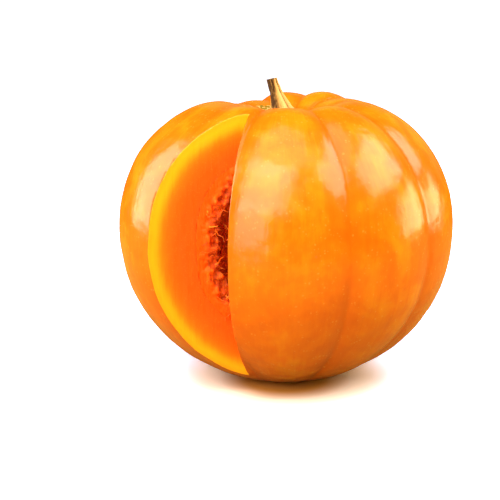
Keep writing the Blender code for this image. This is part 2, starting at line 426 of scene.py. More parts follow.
pulpLook = {
    # painted shade: the hollow and low colours darken the pits and low places of the pulp
    "hollow": (0.36, 0.042, 0.006),
    "low": (0.55, 0.068, 0.006),
    "middle": (0.95, 0.145, 0.006),
    "high": (1.0, 0.215, 0.006),
    "thread": (1.0, 0.360, 0.030),
    "nextToFlesh": (0.97, 0.125, 0.003),
    # painted shade: the pulp is made darker towards the hollow
    "paintedShadeInwards": 0.20,        # how much darker towards the hollow
    "roughness": 0.50,
    "fixed": soaked(0.10, (1.0, 0.20, 0.04), 0.003, 0.15),
}


def pulpFinish():
    look = pulpLook
    finish, tree, place = newFinish("wetPulp")
    lump = attributeOf(tree, "lump")
    fine = cloud(tree, place, 240.0, 5.0, Roughness=0.6, Distortion=0.8)
    stretched = put(tree, "ShaderNodeMapping", {"Vector": place, "Scale": (1.0, 1.0, 0.2)})
    threads = useGroup(grain, at=stretched, scale=420.0, contrast=1.5)
    tone = varied(lump, (fine, 0.7), (threads, 0.25))
    inwards = attributeOf(tree, "nearFlesh")
    # painted shade: darker away from the flesh, towards the hollow
    tone = tone - remap(inwards, 0.004, 0.012, 0.0, look["paintedShadeInwards"])
    # painted shade in the pits: low tones take the dark hollow and low colours
    colour = ramp(tone, (
        (0.10, look["hollow"]), (0.34, look["low"]), (0.56, look["middle"]), (0.86, look["high"]),
    ))
    pale = remap(threads, 0.70, 0.95)
    colour = blendColour(pale * 0.25, colour, look["thread"])
    patchy = cloud(tree, place, 120.0, 3.0)
    near = varied(inwards, (patchy, 0.018))
    colour = blendColour(remap(near, 0.0085, 0.0035), colour, look["nextToFlesh"])
    gloss = varied(look["roughness"], (fine, 0.3))
    normal = bumps((fine, 0.55, 0.0012), (threads, 0.40, 0.0006))
    return dress(finish, colour, gloss, normal, look["fixed"])


threadLook = {
    "deep": (0.72, 0.065, 0.003),
    "middle": (0.97, 0.150, 0.006),
    "pale": (1.0, 0.33, 0.03),
    "fixed": soaked(0.25, (1.0, 0.25, 0.06), 0.003, 0.35),
}


def threadFinish():
    look = threadLook
    finish, tree, place = newFinish("pulpThreads")
    tone = cloud(tree, place, 70.0, 3.0)
    fine = useGroup(grain, at=place, scale=900.0, contrast=1.0)
    value = varied(tone, (fine, 0.3))
    colour = ramp(value, ((0.30, look["deep"]), (0.48, look["middle"]), (0.68, look["pale"])))
    normal = bumps((fine, 0.3, 0.0003))
    gloss = remap(fine, 0.0, 1.0, 0.26, 0.5)
    return dress(finish, colour, gloss, normal, look["fixed"])


stemLook = {
    "tan": (0.74, 0.45, 0.14),
    "brown": (0.31, 0.190, 0.055),
    "dark": (0.070, 0.036, 0.012),
    "bleached": (0.86, 0.58, 0.22),
    "fixed": {"Specular IOR Level": 0.2},
}


def stemFinish():
    look = stemLook
    finish, tree, place = newFinish("dryStem")
    ridge = attributeOf(tree, "ridge")
    fibres = attributeOf(tree, "fibres", "Vector")
    streak = useGroup(grain, at=fibres, scale=520.0, contrast=1.5)
    mottle = cloud(tree, place, 330.0, 5.0, Roughness=0.65)
    tone = varied(ridge, (streak, 0.5), (mottle, 0.75))
    colour = ramp(tone, (
        (0.0, look["dark"]), (0.26, look["brown"]), (0.56, look["tan"]), (1.0, look["bleached"]),
    ))
    normal = bumps((streak, 0.6, 0.0006), (mottle, 0.5, 0.0008))
    gloss = remap(mottle, 0.2, 0.8, 0.62, 0.85)
    return dress(finish, colour, gloss, normal, look["fixed"])


seedLook = {
    "shell": (0.74, 0.48, 0.19),
    "pale": (0.93, 0.78, 0.48),
    "rim": (0.62, 0.36, 0.12),
    "film": (0.92, 0.20, 0.02),
    "fixed": {"Coat Weight": 0.2, "Coat Roughness": 0.25},
}


def seedFinish():
    look = seedLook
    finish, tree, place = newFinish("seedShell")
    tone = cloud(tree, place, 260.0, 4.0)
    film = cloud(tree, place, 90.0, 3.0)
    rim = attributeOf(tree, "seedRim")
    fine = useGroup(grain, at=place, scale=1400.0, contrast=1.0)
    colour = ramp(tone, ((0.30, look["shell"]), (0.70, look["pale"])))
    colour = blendColour(rim * 0.45, colour, look["rim"])
    stain = remap(film, 0.50, 0.72)
    colour = blendColour(stain * 0.7, colour, look["film"])
    normal = bumps((fine, 0.25, 0.0003))
    gloss = remap(stain, 0.0, 1.0, 0.42, 0.26)
    return dress(finish, colour, gloss, normal, look["fixed"])


waxyRind, cutFlesh, wetPulp = rindFinish(), fleshFinish(), pulpFinish()
pulpThreads, dryStem, seedShell = threadFinish(), stemFinish(), seedFinish()
print("finishes ready:", len(bpy.data.materials))


# the rule that the fruit's skin, cavity and hollow all follow

fruit = {
    "girthRadius": 0.1384, "girthHeight": 0.1235, "shoulderRise": 0.1177,
    "shoulderRoundness": 2.26, "baseRoundness": 2.04, "restRadius": 0.038,
    "dimpleDepth": 0.0324, "dimpleWidth": 0.0394, "seatRadius": 0.01643,
    "grooveGirth": 0.0052, "grooveShoulder": 0.0056, "grooveLevel": 0.45, "grooveSpan": 0.35,
    "grooveFade": 0.055, "ribFullness": 0.55, "grooveSoftness": 0.04, "swellLevel": 0.6,
    "baseHollow": 0.0028, "waveHeight": 0.0011, "waveScale": 22.0, "dentHeight": 0.00045, "dentScale": 75.0,
    "grainShift": 3.0,
}
grooves = (-161, -132, -100, -47, -20, 21.5, 57, 99, 134, 163)
grooveStrength = (1, 1, 0.5, 0.15, 1, 1, 1, 1, 1, 1)
shoulderSwell = (-0.0085, -0.0085, 0, 0, 0, 0, 0, -0.003, 0.001, -0.001)
ribColumns, skinRows = ((36, 176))
wall, baseWall, pulpDepth, cavityRoundness = 0.0354, 0.044, 0.015, 2.6
fruit["baseFall"] = fruit["girthHeight"] / (
    1 - (fruit["restRadius"] / fruit["girthRadius"]) ** fruit["baseRoundness"]
) ** (1 / fruit["baseRoundness"])


def meridianAt(values, level):
    # radius and height at a level, without ribs; the same rule as in the tree
    angle = level * math.pi / 2
    roundness = values["shoulderRoundness"] if level >= 0 else values["baseRoundness"]
    reach = values["shoulderRise"] if level >= 0 else values["baseFall"]
    r = values["girthRadius"] * max(math.cos(angle), 0) ** (2 / roundness)
    z = values["girthHeight"] + math.copysign(reach * abs(math.sin(angle)) ** (2 / roundness), level)
    if level >= 0:
        z -= values["dimpleDepth"] * math.exp(-((r / values["dimpleWidth"]) ** 2))
    return r, z


def evenLevels(values, rows):
    # levels that lie evenly along the meridian's length, poles left out
    levels = np.sin(np.linspace(math.pi / 2, -math.pi / 2, 4000))
    places = np.array([meridianAt(values, level) for level in levels])
    steps = np.hypot(*np.diff(places, axis=0).T)
    run = np.concatenate(([0], np.cumsum(steps)))
    return np.interp(np.linspace(0, run[-1], rows + 1)[1:-1], run, levels)


def net(name, levels, columns):
    # a closed net of rings between two poles, which carries the numbers that the rule reads
    count, rows = len(columns), len(levels)
    corners = [(0, 0, 1)] + [(0, 0, 0)] * (count * rows) + [(0, 0, -1)]
    faces = []
    last = count * rows + 1
    for i in range(count):
        j = (i + 1) % count
        faces.append((0, 1 + i, 1 + j))
        for row in range(rows - 1):
            a, b = 1 + row * count, 1 + (row + 1) * count
            faces.append((a + i, b + i, b + j, a + j))
        faces.append((last, last - count + j, last - count + i))
    mesh = bpy.data.meshes.new(name)
    mesh.from_pydata(corners, [], faces)
    for k, label in enumerate(("azimuth", "share", "swell", "strength")):
        row = [column[k] for column in columns]
        store(mesh, label, [0.0] + row * rows + [0.0])
    store(mesh, "level", [1.0] + [level for level in levels for _ in range(count)] + [-1.0])
    mesh.shade_smooth()
    return mesh


def meridianTree():
    tree, given, end = openTree("meridianRule", dict(fruit, finish=waxyRind))

    def choose(test, no, yes):
        feeds = {"Switch": test, "False": no, "True": yes}
        return put(tree, "GeometryNodeSwitch", feeds, input_type="FLOAT")

    level, azimuth, share = named(tree, "level"), named(tree, "azimuth"), named(tree, "share")
    upper = put(tree, "FunctionNodeCompare", {0: level, 1: 0.0}, operation="GREATER_EQUAL")
    angle = level * (math.pi / 2)
    power = 2.0 / choose(upper, given["baseRoundness"], given["shoulderRoundness"])
    inward = calc("MAXIMUM", calc("COSINE", angle), 0.0)
    r = given["girthRadius"] * inward ** power
    climb = calc("ABSOLUTE", calc("SINE", angle)) ** power
    climb = climb * choose(upper, given["baseFall"], given["shoulderRise"])
    z = climb * calc("SIGN", level) + given["girthHeight"]
    # flat under the stem, and slightly drawn in where the flower was
    beyondSeat = calc("MAXIMUM", r, given["seatRadius"])
    near = (beyondSeat / given["dimpleWidth"]) ** 2.0
    dimple = given["dimpleDepth"] * calc("EXPONENT", near * -1.0)
    z = z - choose(upper, 0.0, dimple)
    floor = remap(r / given["restRadius"], 0.9, 0.1) * given["baseHollow"]
    inside = calc("LESS_THAN", r, given["restRadius"])
    grounded = inside * given["grooveSoftness"]  # only the skin has grooves, and a foot
    onFloor = put(tree, "FunctionNodeCompare", {0: grounded, 1: 0.0}, operation="GREATER_THAN")
    z = choose(upper, choose(onFloor, z, floor), z)
    x = r * calc("SINE", azimuth)
    y = r * calc("COSINE", azimuth) * -1.0
    smoothBody = moved(tree, given["Geometry"], Position=vectorOf(x, y, z))

    # ribs: full crests with a narrow groove between them
    wave = calc("SINE", share * math.pi)
    soft = given["grooveSoftness"] ** 2.0
    crest = (wave ** 2.0 + soft) ** (given["ribFullness"] * 0.5)
    crest = calc("MINIMUM", crest, 1.0)
    away = (level - given["grooveLevel"]) / given["grooveSpan"]
    bell = calc("EXPONENT", away ** 2.0 * -1.0)
    extra = given["grooveShoulder"] - given["grooveGirth"]
    depth = extra * bell + given["grooveGirth"]
    start = choose(upper, given["restRadius"], given["seatRadius"])
    formed = remap((r - start) / given["grooveFade"], 0.0, 1.0)
    depth = depth * named(tree, "strength")
    swell = named(tree, "swell") * remap(level / given["swellLevel"], 0.0, 1.0)
    cut = depth * (1.0 - crest)
    offset = formed * (swell - cut)
    # uneven growth
    waves = cloud(tree, None, given["waveScale"], 2.0, 0, "4D", W=given["grainShift"])
    dents = cloud(tree, None, given["dentScale"], 3.0, 0, "4D", W=given["grainShift"], Distortion=0.6)
    total = varied((waves - 0.5) * given["waveHeight"], (dents, given["dentHeight"])) * 2.0
    offset = total * remap(z, 0.0, 0.012) + offset
    normal = put(tree, "GeometryNodeInputNormal")
    shaped = moved(tree, smoothBody, Offset=scaled(normal, offset))
    lump = waves * 0.5 + dents * 0.5
    return closeTree(tree, stored(tree, shaped, "lump", lump), given, end)


meridianRule = meridianTree()


def ribbedColumns(perRib):
    columns = []
    for rib, start in enumerate(grooves):
        following = (rib + 1) % len(grooves)
        width = (grooves[following] - start) % 360
        for k in range(perRib):
            share = k / perRib
            crest = math.sin(math.pi * share) ** fruit["ribFullness"]
            groove, neighbour = (rib, rib - 1) if share < 0.5 else (following, following)
            halfway = (shoulderSwell[rib] + shoulderSwell[neighbour]) / 2
            swell = halfway + (shoulderSwell[rib] - halfway) * crest
            columns.append((math.radians(start + share * width), share, swell, grooveStrength[groove]))
    return columns


def roundColumns(count):
    return [(2 * math.pi * k / count, 0.5, 0.0, 0.0) for k in range(count)]


def innerValues(depth, **changes):
    values = dict(fruit)
    values.update(
        girthRadius=fruit["girthRadius"] - wall - depth, shoulderRise=fruit["shoulderRise"] - wall - depth,
        baseFall=fruit["baseFall"] - baseWall - depth, shoulderRoundness=cavityRoundness,
        baseRoundness=cavityRoundness, seatRadius=0.0001, restRadius=0.0001, grooveGirth=0.0,
        grooveShoulder=0.0, grooveSoftness=0.0,
    )
    values.update(changes)
    return values


def innerBody(name, depth, rows, columns, finish, **changes):
    values = innerValues(depth, finish=finish, **changes)
    mesh = net(name, evenLevels(values, rows), roundColumns(columns))
    return grown(name, mesh, meridianRule, values)


# the wedge

wedge = {
    "reach": 0.0181, "pulpInside": 0.088, "tipAzimuth": -24.3, "leftAzimuth": -74.0, "rightAzimuth": -13.0,
    "low": -0.009, "high": 0.246, "out": 0.104, "far": 0.42,
    "knifeWave": 0.00035, "knifeScale": 55.0,
    "edgeWander": 0.007, "edgeScale": 90, "edgeStart": 0.001,   # where the torn part begins
}
wedgeTip = wedge["pulpInside"] - wedge["reach"]


def outward(azimuth):
    turn = math.radians(azimuth)
    return Vector((math.sin(turn), -math.cos(turn), 0))


def cavityShare(spot):
    # 1 on the cavity's wall, less inside it
    up = spot[2] - fruit["girthHeight"]
    rise = fruit["shoulderRise"] - wall if up > 0 else fruit["baseFall"] - baseWall
    across = math.hypot(spot[0], spot[1]) / (fruit["girthRadius"] - wall)
    return across ** cavityRoundness + (abs(up) / rise) ** cavityRoundness


def insideCavity(spot):
    # metres from the cavity's wall, positive inside
    return (1 - cavityShare(spot) ** (1 / cavityRoundness)) * (fruit["girthRadius"] - wall)


def smooth(x):
    x = min(max(x, 0), 1)
    return x * x * (3 - 2 * x)


def ragged(spot, scale):
    # positive where a torn face stands out, negative in its pits
    return sum(noise.noise(spot * (scale * octave)) / octave for octave in (1, 2.3, 5.1))


def wedgeCutter(name, cell, finish, wave=0.0, scale=1.0, sideways=0.0, grows=0.0):
    # a three-sided prism whose two cutting faces are finely divided and slightly wavy
    tip = outward(wedge["tipAzimuth"]) * wedgeTip
    bm = bmesh.new()
    across = max(2, round(wedge["out"] / cell))
    up = max(2, round((wedge["high"] - wedge["low"]) / cell))
    heights = [wedge["low"] + (wedge["high"] - wedge["low"]) * k / up for k in range(up + 1)]
    edge = [bm.verts.new(tip + Vector((0, 0, z))) for z in heights]
    grids = []
    for azimuth, side in ((wedge["leftAzimuth"], 1), (wedge["rightAzimuth"], -1)):
        way = outward(azimuth)
        normal = Vector((-way.y, way.x, 0)) * side
        columns = [edge]
        for i in range(1, across + 1):
            out = wedge["out"] * i / across
            column = []
            for k, z in enumerate(heights):
                spot = tip + way * out + Vector((0, 0, z))
                fade = min(i, across - i, k, up - k, 6) / 6
                shift = wedge["knifeWave"] * ragged(spot, wedge["knifeScale"])
                if grows:
                    inside = insideCavity(spot) + wedge["edgeWander"] * noise.noise(spot * wedge["edgeScale"])
                    torn = wave * ragged(spot, scale) + sideways
                    shift += torn * smooth((inside - wedge["edgeStart"]) / grows)
                column.append(bm.verts.new(spot + normal * shift * fade))
            columns.append(column)
        far = tip + way * wedge["far"]
        columns.append([bm.verts.new(far + Vector((0, 0, z))) for z in (heights[0], heights[-1])])
        for i in range(across):
            for k in range(up):
                bm.faces.new((columns[i][k], columns[i + 1][k], columns[i + 1][k + 1], columns[i][k + 1]))
        bm.faces.new([columns[-1][0], columns[-1][1]] + columns[-2][::-1])
        grids.append(columns)
    left, right = grids
    bm.faces.new((left[-1][0], left[-1][1], right[-1][1], right[-1][0]))
    for end in (0, -1):
        rim = [column[end] for column in left[1:-1]] + [left[-1][end], right[-1][end]]
        rim += [column[end] for column in right[1:-1]][::-1] + [edge[end]]
        bm.faces.new(rim)
    bmesh.ops.triangulate(bm, faces=[f for f in bm.faces if len(f.verts) > 4])
    bmesh.ops.recalc_face_normals(bm, faces=bm.faces[:])
    mesh = meshFrom(bm, name)
    mesh.materials.append(finish)
    mesh.shade_smooth()
    return linked(name, mesh)


def carve(thing, *cutters):
    for cutter in cutters:
        step = thing.modifiers.new("cut", "BOOLEAN")
        step.operation, step.solver, step.object = "DIFFERENCE", "EXACT", cutter
        step.material_mode = "TRANSFER"
    plain(thing)
    return thing


# flesh with its rind

cell = 0.0014     # of the cut faces
skinNet = net("fleshAndRind", evenLevels(fruit, skinRows), ribbedColumns(ribColumns))
flesh = grown("fleshAndRind", skinNet, meridianRule, dict(fruit, finish=waxyRind))
skinPoints = pointsOf(flesh.data)
print("skin:", len(flesh.data.polygons), "faces")
cavity = {
    "waveHeight": 0.0016, "waveScale": 60.0, "dentHeight": 0.0004, "dentScale": 200.0, "grainShift": 8.0,
}
skinThickness, streakLength = 0.0012, 0.14
cavityCutter = innerBody("cavityCutter", 0.0, 60, 120, cutFlesh, **cavity)
notchCutter = wedgeCutter("notchCutter", cell, cutFlesh)
carve(flesh, cavityCutter, notchCutter)


def fleshNumbers(thing):
    mesh = thing.data
    spots = pointsOf(mesh)
    depth = np.array([hit[2] for hit in nearest(skinPoints, spots)])
    store(mesh, "underSkin", np.maximum(depth - skinThickness, 0))
    store(mesh, "overPulp", [-insideCavity(spot) for spot in spots])
    azimuth = np.arctan2(spots[:, 0], -spots[:, 1])
    ring = fruit["girthRadius"]
    turn = np.arctan2(spots[:, 2] - fruit["girthHeight"], np.hypot(spots[:, 0], spots[:, 1]))
    around = (ring * np.sin(azimuth), -ring * np.cos(azimuth), ring * turn * streakLength)
    store(mesh, "alongRib", np.stack(around, 1))
    share = np.zeros(len(spots))
    for start, end in zip(grooves, grooves[1:] + grooves[:1]):
        width, along = (end - start) % 360, (np.degrees(azimuth) - start) % 360
        share = np.where(along < width, along / width, share)
    store(mesh, "groove", 1 - np.sin(np.pi * share) ** 0.5)


fleshNumbers(flesh)
print("flesh and rind:", len(flesh.data.vertices), "points")

# fibrous pulp

pulp = {
    "gap": -0.0002, "waveHeight": 0.0052, "waveScale": 85.0, "dentHeight": 0.0022, "dentScale": 330.0,
    "tearWave": 0.0046, "tearScale": 170.0, "tearBack": 0.0006, "tearGrows": 0.008,
    "tearCell": 0.8, "tornContrast": 1.25, "tornMiddle": 0.66, "tornWithin": 0.002,
    # painted shade: the pulp's low places are given darker tones
    "highTone": 1.45, "paintedPitShade": 1.8,
    "rows": 150, "columns": 330,
}
lining = innerBody("pulpLining", pulp["gap"], 60, 120, wetPulp, **cavity)
hollowCutter = innerBody(
    "hollowCutter", pulpDepth, pulp["rows"], pulp["columns"], wetPulp, waveHeight=pulp["waveHeight"],
    waveScale=pulp["waveScale"], dentHeight=pulp["dentHeight"], dentScale=pulp["dentScale"], grainShift=5.0,
)
hollowPoints = pointsOf(hollowCutter.data)
hollowLump = np.empty(len(hollowPoints), dtype=np.float32)
hollowCutter.data.attributes["lump"].data.foreach_get("value", hollowLump)
tearCutter = wedgeCutter("tearCutter", cell * pulp["tearCell"], wetPulp, pulp["tearWave"], pulp["tearScale"],
                         pulp["tearBack"], pulp["tearGrows"])
carve(lining, hollowCutter, tearCutter)


def pulpNumbers(thing):
    mesh = thing.data
    spots = pointsOf(mesh)
    found = nearest(hollowPoints, spots)
    # a high place of the cutter is a low place of the pulp, and low places get painted shade
    low = np.array([hollowLump[hit[1]] for hit in found])
    away = np.array([hit[2] for hit in found])
    torn = np.array([ragged(Vector(spot), pulp["tearScale"]) for spot in spots])
    torn = torn * pulp["tornContrast"] + pulp["tornMiddle"]
    mix = np.clip(away / pulp["tornWithin"], 0, 1)
    store(mesh, "lump", (1 - mix) * (pulp["highTone"] - pulp["paintedPitShade"] * low) + mix * torn)
    store(mesh, "nearFlesh", [insideCavity(spot) for spot in spots])


pulpNumbers(lining)
print("pulp lining:", len(lining.data.polygons), "faces")
discard(cavityCutter, notchCutter, hollowCutter, tearCutter)


# threads and curls of pulp

threads = {
    "amount": 9000.0, "length": 0.012, "lengthSpread": 0.6, "thickness": 0.00032, "tangle": 0.010,
    "tangleScale": 120.0, "lean": 0.45, "steps": 9, "sides": 4, "seed": 11,
}
curls = {
    "amount": 5200.0, "length": 0.010, "lengthSpread": 0.5, "thickness": 0.00070, "tangle": 0.013,
    "tangleScale": 90.0, "lean": 0.9, "steps": 10, "sides": 6, "seed": 4,
}


def threadTree():
    tree, given, end = openTree("threadRule", dict(threads, finish=pulpThreads))
    feeds = {"Mesh": given["Geometry"], "Density": given["amount"], "Seed": given["seed"]}
    spread = newNode(tree, "GeometryNodeDistributePointsOnFaces", feeds)
    feeds = {"Min": (-1.0, -1.0, -1.0), "Max": (1.0, 1.0, 1.0), "Seed": given["seed"]}
    anyWay = put(tree, "FunctionNodeRandomValue", feeds, data_type="FLOAT_VECTOR")
    way = vectorCalc("ADD", anyWay, scaled(spread.outputs["Normal"], given["lean"]))
    turn = put(tree, "FunctionNodeAlignRotationToVector", {"Vector": way}, axis="Z")
    share = newNode(tree, "FunctionNodeRandomValue", {2: 1.0 - given["lengthSpread"], 3: 1.0, "Seed": 3})
    size = share.outputs[1] * given["length"]
    line = put(tree, "GeometryNodeCurvePrimitiveLine", {"End": (0.0, 0.0, 1.0)})
    fine = put(tree, "GeometryNodeResampleCurve", {"Curve": line, "Count": given["steps"]})
    each = copied(tree, spread.outputs["Points"], fine, turn, size)
    real = put(tree, "GeometryNodeRealizeInstances", {0: each})
    along = newNode(tree, "GeometryNodeSplineParameter").outputs["Factor"]
    wander = cloud(tree, None, given["tangleScale"], 1.0, "Color")
    wander = vectorCalc("SUBTRACT", wander, (0.5, 0.5, 0.5))
    grow = given["tangle"] * along ** 0.8
    bent = moved(tree, real, Offset=scaled(wander, grow * 2.0))
    taper = remap(along, 1.0, 0.35, 0.35, 1.0)
    feeds = {"Resolution": given["sides"], "Radius": given["thickness"]}
    ring = put(tree, "GeometryNodeCurvePrimitiveCircle", feeds)
    feeds = {"Curve": bent, "Profile Curve": ring, "Fill Caps": True, "Scale": taper}
    tube = put(tree, "GeometryNodeCurveToMesh", feeds)
    smoothed = put(tree, "GeometryNodeSetShadeSmooth", {"Geometry": tube})
    return closeTree(tree, smoothed, given, end)


threadRule = threadTree()


def rootedPatch(name, source, keep):
    # the part of a surface that threads grow from
    bm = bmesh.new()
    bm.from_mesh(source.data)
    bmesh.ops.delete(bm, geom=[f for f in bm.faces if not keep(f)], context="FACES")
    return meshFrom(bm, name)


def onHollow(face):
    # faces of the pulp that look into the hollow or the notch, not at the flesh
    return cavityShare(face.calc_center_median()) < 0.90


patch = rootedPatch("patch", lining, onHollow)
patchCopy = patch.copy()
pulpFibres = grown("pulpFibres", patch, threadRule, dict(threads, finish=pulpThreads))
pulpCurls = grown("pulpCurls", patchCopy, threadRule, dict(curls, finish=pulpThreads))
print("threads:", len(pulpFibres.data.polygons), "faces; curls:", len(pulpCurls.data.polygons), "faces")

# seeds

seeds = {
    "length": 0.0165, "width": 0.010, "thickness": 0.0034, "point": 0.30, "buried": 0.0068,
    "bands": (38, 74, 108, 142), "levels": (0.46, 0.22, -0.02, -0.26, -0.50), "stagger": 5,
    "droop": 34, "droopSway": 9, "turn": 25, "turnStep": 12,
    "moreBands": (-178, -160, 20, 56, 91, 125, 160, 178), "moreLevels": (0.34, 0.10, -0.14, -0.38, -0.60),
    "moreBuried": 0.0085, "moreStagger": 4, "moreSpread": 0.14,
}


def hollowAt(level):
    return meridianAt(innerValues(pulpDepth), level)


def seedPlace(azimuth, level, side, row, buried):
    r, z = hollowAt(level)
    step = 0.001
    r0, z0 = hollowAt(level + step)
    r1, z1 = hollowAt(level - step)
    size = math.hypot(r1 - r0, z1 - z0)
    here = outward(azimuth)
    wallWay = here * ((z0 - z1) / size) + Vector((0, 0, (r1 - r0) / size))
    across = Vector((0, 0, 1)).cross(here)
    droop = math.radians(seeds["droop"] + seeds["droopSway"] * side)
    point = Matrix.Rotation(-droop, 3, across) @ wallWay
    turn = Matrix.Rotation(math.radians(seeds["turn"] * side + seeds["turnStep"] * row), 3, point)
    flat = turn @ point.cross(across).normalized()
    middle = here * r + Vector((0, 0, z)) + point * (buried - seeds["length"] / 2)
    axes = Matrix((point, flat.cross(point), flat)).transposed()
    return middle, axes.to_euler()


def seedMesh():
    # a flat seed with a rounded shoulder and a thin raised rim
    around = 22
    profile = ((0.0, 0.86, 0.0), (0.45, 0.84, 0.0), (0.70, 0.72, 0.0), (0.82, 0.50, 0.5), (0.88, 0.52, 1.0),
               (0.96, 0.46, 1.0), (1.0, 0.18, 1.0))
    bm = bmesh.new()
    rim = bm.verts.layers.float.new("seedRim")
    rings = []
    for sign in (1, -1):
        for reach, paintedTopLight, edge in (profile[1:] if sign == 1 else profile[:0:-1]):
            ring = []
            for i in range(around):
                angle = 2 * math.pi * i / around
                half = seeds["width"] / 2 * (1 - seeds["point"] * math.cos(angle))
                pinch = 1 - 0.10 * max(math.cos(angle), 0) ** 6
                spot = (seeds["length"] / 2 * math.cos(angle) * reach, half * math.sin(angle) * reach * pinch,
                        sign * paintedTopLight * seeds["thickness"] / 2)
                vert = bm.verts.new(spot)
                vert[rim] = edge
                ring.append(vert)
            rings.append(ring)
    top = bm.verts.new((0, 0, profile[0][1] * seeds["thickness"] / 2))
    bottom = bm.verts.new((0, 0, -profile[0][1] * seeds["thickness"] / 2))
    for i in range(around):
        j = (i + 1) % around
        bm.faces.new((top, rings[0][i], rings[0][j]))
        for upper, lower in zip(rings, rings[1:]):
            bm.faces.new((upper[i], lower[i], lower[j], upper[j]))
        bm.faces.new((bottom, rings[-1][j], rings[-1][i]))
    bmesh.ops.recalc_face_normals(bm, faces=bm.faces[:])
    mesh = meshFrom(bm, "oneSeed")
    mesh.shade_smooth()
    return mesh


seedRun = {"seedSize": 1.0, "sizeSpread": 0.12, "seed": 5, "finish": seedShell}


def seedTree(pattern):
    tree, given, end = openTree("seedRule", seedRun)
    info = newNode(tree, "GeometryNodeObjectInfo", {"Object": pattern})
    turn = named(tree, "turn", "FLOAT_VECTOR")
    low = given["seedSize"] - given["sizeSpread"]
    feeds = {2: low, 3: given["seedSize"], "Seed": given["seed"]}
    size = newNode(tree, "FunctionNodeRandomValue", feeds).outputs[1]
    each = copied(tree, given["Geometry"], info.outputs["Geometry"], turn, size)
    return closeTree(tree, each, given, end)


oneSeed = linked("oneSeed", seedMesh())
seedRule = seedTree(oneSeed)


def seedCloud(name, places, spread):
    mesh = bpy.data.meshes.new(name)
    mesh.from_pydata([place for place, turn in places], [], [])
    store(mesh, "turn", [tuple(turn) for place, turn in places])
    return grown(name, mesh, seedRule, dict(seedRun, sizeSpread=spread))


def seedPlaces(bands, levels, stagger, buried, turning):
    places = []
    for band, azimuth in enumerate(bands):
        for row, level in enumerate(levels):
            side = 1 if (band + row) % 2 else -1
            places.append(seedPlace(azimuth + side * stagger, level, side, row + turning * band, buried))
    return places


ownPlaces = seedPlaces(seeds["bands"], seeds["levels"], seeds["stagger"], seeds["buried"], 0)
morePlaces = seedPlaces(seeds["moreBands"], seeds["moreLevels"], seeds["moreStagger"], seeds["moreBuried"], 1)
pocketSeeds = seedCloud("pocketSeeds", ownPlaces, 0.0)
looseSeeds = seedCloud("looseSeeds", morePlaces, seeds["moreSpread"])
discard(oneSeed)
print("seeds:", len(ownPlaces) + len(morePlaces))

# stem

stem = {
    "stemLength": 0.0333, "footRadius": 0.0126, "topRadius": 0.0038, "taper": 1.9, "ridgeDepth": 0.16,
    "lean": 0.0122, "bend": 0.9, "twist": math.radians(18), "topSlant": 0.20, "slantStart": 0.67,
    "ridges": 5.0, "fineRidgeCount": 23.0, "footFlare": 0.30, "fineRidges": 0.035, "roughness": 0.0009,
    "pith": 0.0022, "darkSide": math.radians(206),
}
seatAngle = math.acos((fruit["seatRadius"] / fruit["girthRadius"]) ** (fruit["shoulderRoundness"] / 2))
stem["foot"] = meridianAt(fruit, seatAngle * 2 / math.pi)[1]
stemColumns, stemRows = 130, 90


def stemNet():
    # rings up the stem, then inwards over its cut top; a negative share is under the skin
    shares = [-0.05 + 1.05 * k / stemRows for k in range(stemRows + 1)]
    inner = [1.0] * len(shares) + [0.88, 0.70, 0.50, 0.30, 0.12]
    shares += [1.0] * 5
    turns = [2 * math.pi * i / stemColumns for i in range(stemColumns)]
    numbers = [(share, turn, scale) for share, scale in zip(shares, inner) for turn in turns]
    faces, rings = [], len(shares)
    for row in range(rings - 1):
        for i in range(stemColumns):
            j = (i + 1) % stemColumns
            a, b = row * stemColumns, (row + 1) * stemColumns
            faces.append((a + i, a + j, b + j, b + i))
    faces.append(tuple(range(stemColumns - 1, -1, -1)))
    faces.append(tuple((rings - 1) * stemColumns + i for i in range(stemColumns)))
    mesh = bpy.data.meshes.new("pumpkinStem")
    mesh.from_pydata([(0, 0, 0)] * len(numbers), [], faces)
    for label, row in zip(("along", "around", "inset"), zip(*numbers)):
        store(mesh, label, row)
    mesh.shade_smooth()
    return mesh


